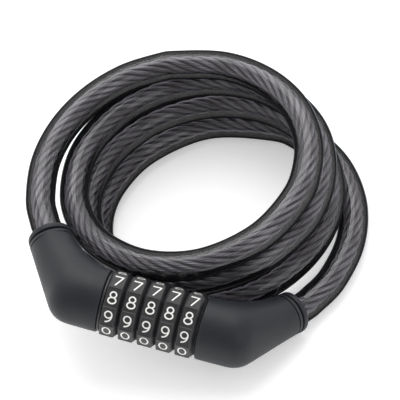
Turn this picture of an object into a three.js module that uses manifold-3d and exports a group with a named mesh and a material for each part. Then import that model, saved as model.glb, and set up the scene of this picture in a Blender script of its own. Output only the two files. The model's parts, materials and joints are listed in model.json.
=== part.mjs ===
// Five-dial combination cable lock: a self-coiling steel cable in a smoked PVC jacket, lying in a
// flat coil, with its two ends joined by a barrel lock. Millimetres, +Z up, standing on z = 0.
// The barrel runs from left (-X) to right (+X) in front of the coil and slopes down to the right.
import * as THREE from 'three';
import Module from 'manifold-3d';
import { mergeVertices } from 'three/addons/utils/BufferGeometryUtils.js';

const wasm = await Module();
wasm.setup();

// ---- driving dimensions ---------------------------------------------------------------------

const CLEARANCE = 0.3;              // between pieces that touch on the real lock

// cable
const CABLE_R = 6;
const COIL_CENTRE = new THREE.Vector3(-0.9, 61.6, 0);
const COIL_R = 49.1;                // to the middle of the cable
const COIL_HEIGHT = 47;
const CABLE_SIDES = 12;
const LEAD_STEPS = 9;

// barrel: its own frame has x along the dials, y towards the coil, z square to both
const BARREL_CENTRE = new THREE.Vector3(0, -7.4, 26.6);   // middle of the third dial
const BARREL_SLOPE = THREE.MathUtils.degToRad(15.3);
const DIAL_COUNT = 5;
const DIAL_PITCH = 7.7;
const FACETS = 10;
const FACET_TURN = THREE.MathUtils.degToRad(24.5);  // the facing digit, forward of straight up
const DIAL_FLAT_R = 12.6;           // to the middle of a digit facet
const DIAL_STEP_R = 10.9;           // at the foot of the finger chamfer
const DIAL_FACET_LENGTH = 5.3;
const DIAL_CHAMFER_LENGTH = 1.6;
const DIAL_BORE_FLAT_R = 9.3;
const CODE_RING_LENGTH = 3.2;
const CODE_RING_BORE_FLAT_R = 6.6;
const GATE_WIDTH = 3.2;
const GATE_R = 8;

const CORE_R = 6.3;
const CORE_BORE_R = 3.7;
const BOLT_R = 3.3;
const FIN_R = 7.6;
const FIN_WIDTH = 2.6;
const FIN_LENGTH = 2;
const PIN_R = 1.1;

// elbows: a bend plane with a along the barrel and b towards the cable's side
const BEND = THREE.MathUtils.degToRad(58);
const LEFT_ARM = 28.4;              // knee to the mouth that the cable enters
const RIGHT_ARM = 26.9;
const HOUSING_R = 12.6;
const ARM_OUTER_R = 8.6;
const KNEE_ROUND = 10;
const MOUTH_R = 8.1;
const END_RING_LENGTH = 2.5;
const LEFT_KNEE = 35.6;             // along the barrel from the third dial
const RIGHT_KNEE = 37;
const LEFT_TILT = THREE.MathUtils.degToRad(-2.7);
const RIGHT_TILT = THREE.MathUtils.degToRad(-13.4);

const DIAL_STACK_END = DIAL_COUNT * DIAL_PITCH / 2;
const SPACER_LENGTH = 1;
const LEFT_FACE = DIAL_STACK_END + SPACER_LENGTH + CLEARANCE;
const RIGHT_FACE = DIAL_STACK_END + 0.35;

// ---- finishes -------------------------------------------------------------------------------

const housing = new THREE.MeshStandardMaterial({ color: 0x3f4246, roughness: 0.5, metalness: 0 });
const dialBlack = new THREE.MeshStandardMaterial({ color: 0x2c2c2e, roughness: 0.55, metalness: 0 });
const jacket = new THREE.MeshStandardMaterial({ color: 0x55545a, roughness: 0.2, metalness: 0 });
const steel = new THREE.MeshStandardMaterial({ color: 0xa8a8aa, roughness: 0.35, metalness: 1 });
const zinc = new THREE.MeshStandardMaterial({ color: 0x8d8e90, roughness: 0.5, metalness: 1 });
const springSteel = new THREE.MeshStandardMaterial({ color: 0x77787c, roughness: 0.3, metalness: 1 });

// ---- joining and cutting --------------------------------------------------------------------

function toSolid(geometry) {
  const bare = geometry.clone();
  bare.deleteAttribute('normal');
  bare.deleteAttribute('uv');
  const merged = mergeVertices(bare, 1e-5);
  return new wasm.Manifold(new wasm.Mesh({
    numProp: 3,
    vertProperties: new Float32Array(merged.attributes.position.array),
    triVerts: new Uint32Array(merged.index.array),
  }));
}

function toGeometry(solid) {
  const mesh = solid.getMesh();
  const geometry = new THREE.BufferGeometry();
  geometry.setAttribute('position', new THREE.BufferAttribute(mesh.vertProperties, 3));
  geometry.setIndex(new THREE.BufferAttribute(mesh.triVerts, 1));
  geometry.computeVertexNormals();
  return geometry;
}

function cut(geometry, ...tools) {
  let solid = toSolid(geometry);
  for (const tool of tools) {
    solid = solid.subtract(toSolid(tool));
  }
  return toGeometry(solid);
}

function join(geometry, ...others) {
  let solid = toSolid(geometry);
  for (const other of others) {
    solid = solid.add(toSolid(other));
  }
  return toGeometry(solid);
}

// ---- basic forms along the barrel -------------------------------------------------------------

// A ring turned round the x axis. The profile is [x, radius] pairs, along the bore and back outside.
function turned(profile, sides) {
  const points = profile.map(([x, radius]) => new THREE.Vector2(radius, x)).reverse();
  points.push(points[0].clone());
  const geometry = new THREE.LatheGeometry(points, sides);
  geometry.rotateZ(-Math.PI / 2);
  return geometry;
}

// A rod along x between two stations.
function rod(radius, from, to, sides = 24) {
  const geometry = new THREE.CylinderGeometry(radius, radius, to - from, sides);
  geometry.rotateZ(-Math.PI / 2);
  geometry.translate((from + to) / 2, 0, 0);
  return geometry;
}

function block(low, high) {
  const size = high.map((value, axis) => value - low[axis]);
  const geometry = new THREE.BoxGeometry(...size);
  geometry.translate(...high.map((value, axis) => (value + low[axis]) / 2));
  return geometry;
}

// A cross pin (or the hole for one) square to the barrel, between two heights at station x.
function crossRod(radius, x, low, high) {
  const geometry = new THREE.CylinderGeometry(radius, radius, high - low, 12);
  geometry.rotateX(Math.PI / 2);
  geometry.translate(x, 0, (low + high) / 2);
  return geometry;
}

// ---- cable ------------------------------------------------------------------------------------

// Routes are measured from the coil's centre: from each end of the coil out to its elbow.
const LEFT_LEAD = [
  [-20.9, 47.1, 41.9],
  [-28.1, 44.6, 42.2],
  [-41.1, 36.7, 42.4],
  [-52.0, 24.0, 42.3],
  [-58.9, 8.1, 42.0],
  [-60.8, -9.9, 41.5],
  [-57.3, -28.1, 40.6],
  [-52.6, -38.0, 39.7],
  [-49.9, -42.3, 39.2],
  [-48.5, -44.6, 38.9],
];
const RIGHT_LEAD = [
  [13.7, 48.5, 6],
  [27.3, 44.0, 6],
  [40.6, 35.6, 6],
  [50.9, 23.9, 6],
  [58.6, 8.4, 6],
  [61.6, -9.5, 6],
  [59.0, -27.6, 6],
  [53.7, -38.6, 6.05],
  [51.1, -43.0, 6.45],
  [49.2, -46.4, 7.8],
];

function cableTube(route, radius) {
  const path = new THREE.CatmullRomCurve3(route.map((point) => new THREE.Vector3(...point)));
  const corners = [];
  for (let side = 0; side < CABLE_SIDES; side += 1) {
    const angle = 2 * Math.PI * side / CABLE_SIDES;
    corners.push(new THREE.Vector2(radius * Math.cos(angle), radius * Math.sin(angle)));
  }
  const section = new THREE.Shape(corners);
  return new THREE.ExtrudeGeometry(section, { steps: LEAD_STEPS, extrudePath: path });
}

// The coiled turns as one ring, with the two leads let into its top and its foot.
function coilRing() {
  const inner = COIL_R - CABLE_R;
  const outer = COIL_R + CABLE_R;
  const round = 3;
  const profile = [
    [inner, round], [inner + round, 0], [outer - round, 0], [outer, round],
    [outer, COIL_HEIGHT - round], [outer - round, COIL_HEIGHT],
    [inner + round, COIL_HEIGHT], [inner, COIL_HEIGHT - round],
  ];
  const points = profile.map(([radius, z]) => new THREE.Vector2(radius, z));
  points.push(points[0].clone());
  const ring = new THREE.LatheGeometry(points, 60);
  ring.rotateX(Math.PI / 2);
  const grooveR = CABLE_R + CLEARANCE + 0.1;
  const grooves = [LEFT_LEAD, RIGHT_LEAD].map((route) => cableTube(lengthened(route), grooveR));
  return cut(ring, ...grooves);
}

// The same route with its coil end moved on by a clearance, for the groove's end wall.
function lengthened(route) {
  const first = new THREE.Vector3(...route[0]);
  const second = new THREE.Vector3(...route[1]);
  const step = first.clone().sub(second).setLength(CLEARANCE);
  return [first.add(step).toArray(), ...route.slice(1)];
}

// ---- elbows -----------------------------------------------------------------------------------

// One elbow's bend plane. (a, b, c) is right-handed, with its origin at the knee, where the
// barrel's axis meets the arm's axis.
function elbowFrame(side, knee, tilt) {
  const a = new THREE.Vector3(side, 0, 0);
  const b = new THREE.Vector3(0, Math.cos(tilt), Math.sin(tilt));
  const c = new THREE.Vector3().crossVectors(a, b);
  const toBarrel = new THREE.Matrix4().makeBasis(a, b, c);
  toBarrel.setPosition(side * knee, 0, 0);
  return toBarrel;
}

function onArm(along, offset) {
  return new THREE.Vector2(
    along * Math.cos(BEND) - offset * Math.sin(BEND),
    along * Math.sin(BEND) + offset * Math.cos(BEND),
  );
}

// The moulding's outline in the bend plane as two rails, from the barrel face to the arm's end.
function elbowRails(faceDistance, armLength) {
  const cornerAlong = (ARM_OUTER_R * Math.cos(BEND) - HOUSING_R) / Math.sin(BEND);
  const corner = onArm(cornerAlong, -ARM_OUTER_R);
  const tangent = KNEE_ROUND * Math.tan(BEND / 2);
  const armEnd = armLength - END_RING_LENGTH - CLEARANCE;
  const face = new THREE.Vector2(-faceDistance, -HOUSING_R);
  const outer = new THREE.CurvePath();
  const bendStart = new THREE.Vector2(corner.x - tangent, -HOUSING_R);
  const bendEnd = onArm(cornerAlong + tangent, -ARM_OUTER_R);
  outer.add(new THREE.LineCurve(face, bendStart));
  outer.add(new THREE.QuadraticBezierCurve(bendStart, corner, bendEnd));
  outer.add(new THREE.LineCurve(bendEnd, onArm(armEnd, -ARM_OUTER_R)));
  const innerFace = new THREE.Vector2(-faceDistance, HOUSING_R);
  const innerStart = new THREE.Vector2(1.5 - faceDistance, HOUSING_R);
  const inner = new THREE.CurvePath();
  inner.add(new THREE.LineCurve(innerFace, innerStart));
  inner.add(new THREE.QuadraticBezierCurve(
    innerStart, new THREE.Vector2(-4, HOUSING_R + 0.6), onArm(armEnd, MOUTH_R + 0.4),
  ));
  return { outer, inner };
}

// A solid lofted between the rails: oval sections, round at both ends.
function elbowBody(faceDistance, armLength) {
  const { outer, inner } = elbowRails(faceDistance, armLength);
  const geometry = new THREE.CylinderGeometry(1, 1, 1, 32, 14);
  const position = geometry.attributes.position;
  for (let i = 0; i < position.count; i += 1) {
    const station = position.getY(i) + 0.5;
    const low = outer.getPointAt(station);
    const high = inner.getPointAt(station);
    const middle = low.clone().add(high).multiplyScalar(0.5);
    const half = low.clone().sub(middle);
    const taper = THREE.MathUtils.smoothstep(station, 0.25, 1);
    const thick = THREE.MathUtils.lerp(HOUSING_R, MOUTH_R + 0.4, taper);
    const spot = middle.add(half.multiplyScalar(position.getX(i)));
    position.setXYZ(i, spot.x, spot.y, thick * position.getZ(i));
  }
  return geometry;
}

// Turns something made along x so that it lies along the arm, measured from the knee.
function alongArm(geometry) {
  geometry.rotateZ(BEND);
  return geometry;
}

function endRing(armLength) {
  const start = armLength - END_RING_LENGTH;
  const boreR = CABLE_R + CLEARANCE;
  const lip = 0.7;
  return alongArm(turned([
    [start - 3, boreR], [armLength - lip, boreR], [armLength, boreR + lip],
    [armLength, MOUTH_R - lip], [armLength - lip, MOUTH_R], [start, MOUTH_R + 0.3],
    [start, boreR + 1], [start - 3, boreR + 1],
  ], 32));
}

const FERRULE_FROM = 8;
const FERRULE_TO = 21.5;
const FERRULE_R = 5;
const FERRULE_PIN_AT = 14;

function ferrule() {
  const sleeve = turned([
    [FERRULE_FROM, 3], [FERRULE_TO, 3], [FERRULE_TO, FERRULE_R], [FERRULE_FROM, FERRULE_R],
  ], 20);
  const hole = crossRod(PIN_R + CLEARANCE, FERRULE_PIN_AT, -FERRULE_R - 2, FERRULE_R + 2);
  return alongArm(cut(sleeve, hole));
}

function elbowCutters(down, armLength) {
  const boreR = FERRULE_R + CLEARANCE;
  const seatR = CABLE_R + 1 + 2 * CLEARANCE;
  const seatFrom = armLength - END_RING_LENGTH - 3 - CLEARANCE;
  const bore = alongArm(rod(boreR, FERRULE_FROM - CLEARANCE, armLength + 1));
  const seat = alongArm(rod(seatR, seatFrom, armLength + 1, 32));
  const deep = -7 - CLEARANCE;
  const out = 14;
  const pinHole = crossRod(PIN_R + CLEARANCE, FERRULE_PIN_AT, Math.min(down * deep, down * out),
    Math.max(down * deep, down * out));
  return [bore, seat, alongArm(pinHole)];
}

function ferrulePin(down) {
  return alongArm(crossRod(PIN_R, FERRULE_PIN_AT, Math.min(-7 * down, 8.2 * down),
    Math.max(-7 * down, 8.2 * down)));
}

// ---- dial pack --------------------------------------------------------------------------------

// Ten-sided ring whose facets are turned so that one faces the reader.
function tenSided(profile) {
  const cornerScale = 1 / Math.cos(Math.PI / FACETS);
  const geometry = turned(profile.map(([x, flat]) => [x, flat * cornerScale]), FACETS);
  // a lathe's first corner points along z; half a facet on brings a flat there
  geometry.rotateX(Math.PI / FACETS + FACET_TURN);
  return geometry;
}

function dial() {
  const start = -DIAL_PITCH / 2 + CLEARANCE / 2;
  const end = DIAL_PITCH / 2 - CLEARANCE / 2;
  const chamfer = start + DIAL_FACET_LENGTH;
  const foot = chamfer + DIAL_CHAMFER_LENGTH;
  return tenSided([
    [start, DIAL_BORE_FLAT_R], [end, DIAL_BORE_FLAT_R], [end, DIAL_STEP_R], [foot, DIAL_STEP_R],
    [chamfer, DIAL_FLAT_R], [start, DIAL_FLAT_R],
  ]);
}

function codeRing() {
  const half = CODE_RING_LENGTH / 2;
  const outerR = DIAL_BORE_FLAT_R - CLEARANCE;
  const ring = tenSided([
    [-half, CODE_RING_BORE_FLAT_R], [half, CODE_RING_BORE_FLAT_R], [half, outerR], [-half, outerR],
  ]);
  const gate = block([-half - 1, -GATE_WIDTH / 2, 0], [half + 1, GATE_WIDTH / 2, GATE_R]);
  return cut(ring, gate);
}

// The tube that the code rings turn on: a bore for the bolt, a slot along its top for the fins,
// a channel along its foot for the detent spring and a groove for the retaining ring.
const CORE_LEFT = -32;
const CORE_RIGHT = 22;
const CORE_BORE_LEFT = -21;
const RETAINER_AT = 20.3;
const RETAINER_LENGTH = 0.7;
const CHANNEL_DEPTH = 1.3;

function lockCore() {
  const channelFoot = -CORE_R + CHANNEL_DEPTH;
  const groove = turned([
    [RETAINER_AT - CLEARANCE, CORE_R - 0.7], [RETAINER_AT + RETAINER_LENGTH + CLEARANCE, CORE_R - 0.7],
    [RETAINER_AT + RETAINER_LENGTH + CLEARANCE, CORE_R + 1], [RETAINER_AT - CLEARANCE, CORE_R + 1],
  ], 24);
  return cut(
    rod(CORE_R, CORE_LEFT, CORE_RIGHT, 32),
    rod(CORE_BORE_R, CORE_BORE_LEFT, CORE_RIGHT + 1),
    block([CORE_BORE_LEFT, -GATE_WIDTH / 2, 0], [CORE_RIGHT + 1, GATE_WIDTH / 2, CORE_R + 1]),
    block([-DIAL_STACK_END, -1.5, -CORE_R - 1], [DIAL_STACK_END, 1.5, channelFoot]),
    groove,
    crossRod(PIN_R + CLEARANCE, CORE_LEFT + 5, -CORE_R - 1, CORE_R + 1),
  );
}

function detentSpring() {
  const foot = -CORE_R + CHANNEL_DEPTH - CLEARANCE;
  const strip = block([-DIAL_STACK_END + 1, -1.1, foot - 0.4], [DIAL_STACK_END - 1, 1.1, foot]);
  const bumps = [];
  for (let i = 0; i < DIAL_COUNT; i += 1) {
    const bump = new THREE.CylinderGeometry(0.8, 0.8, 2.2, 12);
    bump.translate(dialStation(i), 0, foot - 0.5);
    bumps.push(bump);
  }
  return join(strip, ...bumps);
}

function bolt() {
  const fins = [];
  for (let i = 0; i < DIAL_COUNT; i += 1) {
    const behindRing = dialStation(i) - CODE_RING_LENGTH / 2 - 0.5;
    fins.push(block([behindRing - FIN_LENGTH, -FIN_WIDTH / 2, 0], [behindRing, FIN_WIDTH / 2, FIN_R]));
  }
  const shank = join(rod(BOLT_R, CORE_BORE_LEFT + 0.8, 33), ...fins);
  return cut(shank, crossRod(PIN_R + CLEARANCE, 28, -BOLT_R - 1, BOLT_R + 1));
}

function finPassage(height) {
  return block([DIAL_STACK_END, -GATE_WIDTH / 2, 0], [CORE_RIGHT + 1, GATE_WIDTH / 2, height]);
}

function dialStation(index) {
  return (index - (DIAL_COUNT - 1) / 2) * DIAL_PITCH;
}

// ---- assembly ---------------------------------------------------------------------------------

const lock = new THREE.Group();
const cable = new THREE.Group();
cable.position.copy(COIL_CENTRE);
const barrel = new THREE.Group();
barrel.position.copy(BARREL_CENTRE);
barrel.rotation.y = BARREL_SLOPE;
lock.add(cable, barrel);

function add(parent, name, geometry, material, x = 0) {
  const mesh = new THREE.Mesh(geometry, material);
  mesh.name = name;
  mesh.position.x = x;
  parent.add(mesh);
}

add(cable, 'cable_coil', coilRing(), jacket);
add(cable, 'cable_left_lead', cableTube(LEFT_LEAD, CABLE_R), jacket);
add(cable, 'cable_right_lead', cableTube(RIGHT_LEAD, CABLE_R), jacket);

// Both elbows: the moulding, its end ring, and the ferrule on the cable with its pin. The pin
// holes open on the underside, so "down" is +1 or -1 along the bend plane's own normal.
function addElbow(name, { side, knee, tilt, arm, face, down }, barrelCutters) {
  const frame = elbowFrame(side, knee, tilt);
  const toBarrel = (geometry) => geometry.applyMatrix4(frame);
  const body = toBarrel(cut(elbowBody(knee - face, arm), ...elbowCutters(down, arm)));
  add(barrel, `${name}_elbow`, cut(body, ...barrelCutters), housing);
  add(barrel, `${name}_end_ring`, toBarrel(endRing(arm)), housing);
  add(barrel, `${name}_ferrule`, toBarrel(ferrule()), steel);
  add(barrel, `${name}_ferrule_pin`, toBarrel(ferrulePin(down)), steel);
}

const leftElbow = {
  side: -1, knee: LEFT_KNEE, tilt: LEFT_TILT, arm: LEFT_ARM, face: LEFT_FACE, down: 1,
};
const rightElbow = {
  side: 1, knee: RIGHT_KNEE, tilt: RIGHT_TILT, arm: RIGHT_ARM, face: RIGHT_FACE, down: -1,
};
addElbow('left', leftElbow, [
  rod(CORE_R + CLEARANCE, CORE_LEFT - CLEARANCE, 0, 32),
  crossRod(PIN_R + CLEARANCE, CORE_LEFT + 5, -16, 9),
]);
addElbow('right', rightElbow, [
  rod(BOLT_R + CLEARANCE, 0, 33 + CLEARANCE),
  rod(10.2, 0, CORE_RIGHT + 0.6, 32),
  crossRod(PIN_R + CLEARANCE, 28, -16, 7),
]);

add(barrel, 'lock_core', lockCore(), zinc);
add(barrel, 'core_pin', crossRod(PIN_R, CORE_LEFT + 5, -11, 8.6), steel);
add(barrel, 'detent_spring', detentSpring(), springSteel);
add(barrel, 'bolt', bolt(), steel);
add(barrel, 'bolt_pin', crossRod(PIN_R, 28, -11, 6.6), steel);

const washerR = CORE_R + CLEARANCE;
const spacerFrom = -DIAL_STACK_END - SPACER_LENGTH;
add(barrel, 'spacer_washer', turned([
  [spacerFrom, FIN_R + 0.5], [-DIAL_STACK_END - 0.15, FIN_R + 0.5],
  [-DIAL_STACK_END - 0.15, HOUSING_R - 0.6], [spacerFrom, HOUSING_R - 0.6],
], 32), dialBlack);

// The washer is notched and the retaining ring is open at its top, where the bolt's fins pass.
add(barrel, 'end_washer', cut(turned([
  [DIAL_STACK_END + 0.15, washerR], [DIAL_STACK_END + 0.7, washerR],
  [DIAL_STACK_END + 0.7, 9.6], [DIAL_STACK_END + 0.15, 9.6],
], 32), finPassage(FIN_R + 0.5)), springSteel);
add(barrel, 'retaining_ring', cut(turned([
  [RETAINER_AT, CORE_R - 0.4], [RETAINER_AT + RETAINER_LENGTH, CORE_R - 0.4],
  [RETAINER_AT + RETAINER_LENGTH, 8.4], [RETAINER_AT, 8.4],
], 32), finPassage(9)), springSteel);

for (let i = 0; i < DIAL_COUNT; i += 1) {
  add(barrel, `dial_${i + 1}`, dial(), dialBlack, dialStation(i));
  add(barrel, `code_ring_${i + 1}`, codeRing(), zinc, dialStation(i));
}

export default lock;
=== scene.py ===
import json
import math
import bmesh
import bpy
from mathutils import Matrix, Vector
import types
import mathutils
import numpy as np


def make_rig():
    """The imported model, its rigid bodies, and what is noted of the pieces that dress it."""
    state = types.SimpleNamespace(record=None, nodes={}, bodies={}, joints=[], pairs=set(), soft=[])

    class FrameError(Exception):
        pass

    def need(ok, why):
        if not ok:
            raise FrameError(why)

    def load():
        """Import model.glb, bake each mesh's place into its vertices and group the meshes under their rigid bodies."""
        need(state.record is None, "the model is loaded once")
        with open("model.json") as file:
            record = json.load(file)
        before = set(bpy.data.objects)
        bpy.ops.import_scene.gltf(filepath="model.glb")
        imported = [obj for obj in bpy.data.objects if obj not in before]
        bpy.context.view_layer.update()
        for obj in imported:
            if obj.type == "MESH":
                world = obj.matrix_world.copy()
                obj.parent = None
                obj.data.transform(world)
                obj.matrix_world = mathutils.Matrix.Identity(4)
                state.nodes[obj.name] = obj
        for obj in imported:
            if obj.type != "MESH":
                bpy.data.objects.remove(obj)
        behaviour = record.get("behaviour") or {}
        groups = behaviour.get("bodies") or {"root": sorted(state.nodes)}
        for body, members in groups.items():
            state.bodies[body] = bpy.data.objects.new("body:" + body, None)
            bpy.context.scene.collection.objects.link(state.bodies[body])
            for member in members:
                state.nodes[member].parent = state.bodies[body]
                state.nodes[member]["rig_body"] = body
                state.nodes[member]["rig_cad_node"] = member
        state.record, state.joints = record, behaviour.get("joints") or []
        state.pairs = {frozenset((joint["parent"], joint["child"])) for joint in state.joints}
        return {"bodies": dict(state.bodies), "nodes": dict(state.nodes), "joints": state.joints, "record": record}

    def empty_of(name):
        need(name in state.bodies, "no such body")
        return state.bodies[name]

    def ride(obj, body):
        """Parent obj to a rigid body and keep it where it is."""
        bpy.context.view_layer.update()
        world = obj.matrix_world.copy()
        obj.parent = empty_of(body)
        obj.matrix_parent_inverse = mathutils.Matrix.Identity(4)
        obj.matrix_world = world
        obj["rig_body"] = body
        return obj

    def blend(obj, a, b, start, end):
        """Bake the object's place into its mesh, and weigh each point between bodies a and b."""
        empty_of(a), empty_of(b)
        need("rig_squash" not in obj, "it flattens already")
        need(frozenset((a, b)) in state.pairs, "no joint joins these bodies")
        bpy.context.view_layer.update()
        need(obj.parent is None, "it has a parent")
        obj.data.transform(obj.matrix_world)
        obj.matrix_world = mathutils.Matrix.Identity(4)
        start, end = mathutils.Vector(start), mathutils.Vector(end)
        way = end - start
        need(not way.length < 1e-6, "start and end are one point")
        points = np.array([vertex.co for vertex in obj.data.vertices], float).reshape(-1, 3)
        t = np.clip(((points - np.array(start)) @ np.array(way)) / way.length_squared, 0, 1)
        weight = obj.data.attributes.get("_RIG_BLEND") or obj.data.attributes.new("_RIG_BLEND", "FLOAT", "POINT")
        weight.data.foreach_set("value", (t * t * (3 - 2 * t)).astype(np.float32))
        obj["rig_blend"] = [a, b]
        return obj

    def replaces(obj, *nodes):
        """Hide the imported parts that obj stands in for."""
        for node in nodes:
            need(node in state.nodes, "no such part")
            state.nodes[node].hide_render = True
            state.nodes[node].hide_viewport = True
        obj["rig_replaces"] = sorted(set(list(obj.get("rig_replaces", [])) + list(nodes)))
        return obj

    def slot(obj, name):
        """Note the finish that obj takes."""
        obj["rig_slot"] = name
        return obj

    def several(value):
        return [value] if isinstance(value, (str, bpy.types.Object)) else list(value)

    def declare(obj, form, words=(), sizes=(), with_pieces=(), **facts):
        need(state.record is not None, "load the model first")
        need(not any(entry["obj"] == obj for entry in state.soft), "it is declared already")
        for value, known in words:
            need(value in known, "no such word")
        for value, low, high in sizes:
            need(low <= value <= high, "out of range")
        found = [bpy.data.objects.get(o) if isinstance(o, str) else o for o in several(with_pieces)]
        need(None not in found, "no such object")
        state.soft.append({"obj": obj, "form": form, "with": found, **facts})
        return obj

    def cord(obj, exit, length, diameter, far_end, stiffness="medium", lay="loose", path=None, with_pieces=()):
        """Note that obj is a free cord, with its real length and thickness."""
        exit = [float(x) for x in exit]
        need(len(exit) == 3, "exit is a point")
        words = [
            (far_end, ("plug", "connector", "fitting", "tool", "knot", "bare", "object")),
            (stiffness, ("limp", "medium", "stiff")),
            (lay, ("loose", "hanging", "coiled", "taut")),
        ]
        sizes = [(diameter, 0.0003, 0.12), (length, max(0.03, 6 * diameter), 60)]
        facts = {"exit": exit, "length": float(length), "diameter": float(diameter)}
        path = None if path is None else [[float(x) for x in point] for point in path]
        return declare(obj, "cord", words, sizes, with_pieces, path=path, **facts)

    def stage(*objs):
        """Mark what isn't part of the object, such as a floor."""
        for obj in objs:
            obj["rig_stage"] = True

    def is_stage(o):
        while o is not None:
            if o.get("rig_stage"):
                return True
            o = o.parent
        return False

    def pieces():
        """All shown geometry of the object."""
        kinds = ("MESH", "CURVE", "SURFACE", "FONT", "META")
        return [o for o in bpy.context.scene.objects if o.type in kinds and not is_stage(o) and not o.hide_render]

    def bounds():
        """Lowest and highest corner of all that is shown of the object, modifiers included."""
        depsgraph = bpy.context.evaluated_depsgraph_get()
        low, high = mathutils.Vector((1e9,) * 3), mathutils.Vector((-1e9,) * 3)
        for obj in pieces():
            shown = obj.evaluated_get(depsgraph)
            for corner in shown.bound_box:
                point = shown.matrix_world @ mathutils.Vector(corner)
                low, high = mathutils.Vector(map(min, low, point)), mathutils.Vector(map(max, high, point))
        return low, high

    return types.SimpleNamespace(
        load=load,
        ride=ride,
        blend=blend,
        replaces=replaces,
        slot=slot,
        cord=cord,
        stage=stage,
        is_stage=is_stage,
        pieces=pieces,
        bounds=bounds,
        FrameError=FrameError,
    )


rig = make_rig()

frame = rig.load()
cad_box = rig.bounds()

# ---- Camera ------------------------------------------------------------------------------
# A long lens looks down on the coil from the front right, leaning a little to one side. The
# coil's own axis stands upright a little left of the origin.
COIL_CENTRE = Vector((-0.0009, 0.0616, 0.0))
VIEW_ELEVATION = math.radians(47.9)
VIEW_AZIMUTH = math.radians(29.2)
VIEW_LEAN = math.radians(17.1)
VIEW_DISTANCE = 1.344

to_camera = Vector((
    math.cos(VIEW_ELEVATION) * math.sin(VIEW_AZIMUTH),
    -math.cos(VIEW_ELEVATION) * math.cos(VIEW_AZIMUTH),
    math.sin(VIEW_ELEVATION),
))
level = Vector((math.cos(VIEW_AZIMUTH), math.sin(VIEW_AZIMUTH), 0.0))
rising = to_camera.cross(level)
view_right = level * math.cos(VIEW_LEAN) - rising * math.sin(VIEW_LEAN)
view_up = level * math.sin(VIEW_LEAN) + rising * math.cos(VIEW_LEAN)
aim = COIL_CENTRE + Vector((0, 0, 0.0224)) - view_right * 0.00125 - view_up * 0.00515

camera_data = bpy.data.cameras.new("camera")
camera_data.lens = 299.0
camera_data.sensor_width = 36.0
camera_data.clip_end = 20.0
camera = bpy.data.objects.new("camera", camera_data)
camera.matrix_world = (
    Matrix.Translation(aim + to_camera * VIEW_DISTANCE)
    @ Matrix((view_right, view_up, to_camera)).transposed().to_4x4()
)
bpy.context.collection.objects.link(camera)
bpy.context.scene.camera = camera

# ---- Cable course ------------------------------------------------------------------------
# One steel cable leaves the right elbow along the floor, climbs a little over three turns
# and comes off the top of the coil for the left elbow. Lead points are from the coil's axis.
MM = 0.001
CABLE_R = 0.006
COIL_R = 49.1
STEP = 0.00125
LEFT_LEAD = [
    (-20.9, 47.1, 41.9), (-28.1, 44.6, 42.2), (-41.1, 36.7, 42.4), (-52.0, 24.0, 42.3),
    (-58.9, 8.1, 42.0), (-60.8, -9.9, 41.5), (-57.3, -28.1, 40.6), (-52.6, -38.0, 39.7),
    (-49.9, -42.3, 39.2), (-48.5, -44.6, 38.9),
]
RIGHT_LEAD = [
    (13.7, 48.5, 6), (27.3, 44.0, 6), (40.6, 35.6, 6), (50.9, 23.9, 6), (58.6, 8.4, 6),
    (61.6, -9.5, 6), (59.0, -27.6, 6), (53.7, -38.6, 6.05), (51.1, -43.0, 6.45), (49.2, -46.4, 7.8),
]
# (degrees turned since the left elbow, how far outside COIL_R it lies, height)
COIL_LIE = [
    (95, 2.4, 41.9), (140, -2.0, 40.6), (185, -3.0, 39.0), (225, -1.7, 37.2), (280, 0.9, 34.4),
    (330, 1.7, 32.6), (370, 2.2, 31.6), (420, 2.6, 31.0), (460, 2.2, 30.0), (495, 1.4, 29.1),
    (530, 0.9, 28.5), (560, 0.6, 27.2), (590, 0.4, 25.6), (640, 0.0, 22.8), (690, -0.4, 21.0),
    (740, -0.5, 19.3), (790, 0.1, 18.1), (830, 0.3, 17.6), (870, 0.4, 17.4), (905, 1.6, 16.4),
    (940, 2.9, 14.2), (975, 2.6, 11.9), (1010, 1.1, 10.0), (1050, -1.2, 8.4), (1100, -2.4, 7.0),
    (1150, -1.6, 6.1), (1215, 1.3, 6.0),
]
LEFT_ELBOW_BEARING = 209.2
# points near the left elbow, among which the moving stretch ends
LEFT_STRETCH = 110


def spline_through(points, per_gap):
    """Points on a smooth curve through the given ones (any dimension)."""
    ends = [points[0] * 2 - points[1]] + list(points) + [points[-1] * 2 - points[-2]]
    curve = []
    for before, start, stop, after in zip(ends, ends[1:], ends[2:], ends[3:]):
        for i in range(per_gap):
            t = i / per_gap
            curve.append(0.5 * (
                start * 2 + (stop - before) * t
                + (before * 2 - start * 5 + stop * 4 - after) * t * t
                + (start * 3 - before - stop * 3 + after) * t * t * t
            ))
    return curve + [points[-1]]


def coil_point(turned, outward, height):
    bearing = math.radians(LEFT_ELBOW_BEARING - turned)
    radius = COIL_R + outward
    return Vector((radius * math.cos(bearing), radius * math.sin(bearing), height))


def evenly(points, step):
    """The same line with its points one step apart."""
    spaced = [points[0]]
    left = step
    for start, stop in zip(points, points[1:]):
        gap = (stop - start).length
        done = 0.0
        while gap - done >= left:
            done += left
            spaced.append(start.lerp(stop, done / gap))
            left = step
        left -= gap - done
    return spaced


lie = spline_through([Vector(row) for row in COIL_LIE], 8)
coil_line = [coil_point(*row) for row in lie][::4]
line = [Vector(p) for p in LEFT_LEAD[::-1]] + coil_line[1:-1] + [Vector(p) for p in RIGHT_LEAD]
line = [COIL_CENTRE + p * MM for p in line]
cable_line = evenly(spline_through(line, 12), STEP)
lead_back = COIL_CENTRE.y + LEFT_LEAD[0][1] * MM
lead_points = sum(1 for p in cable_line[:LEFT_STRETCH] if p.y < lead_back)
lead_share = (lead_points - 0.5) / (len(cable_line) - 1)

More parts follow.
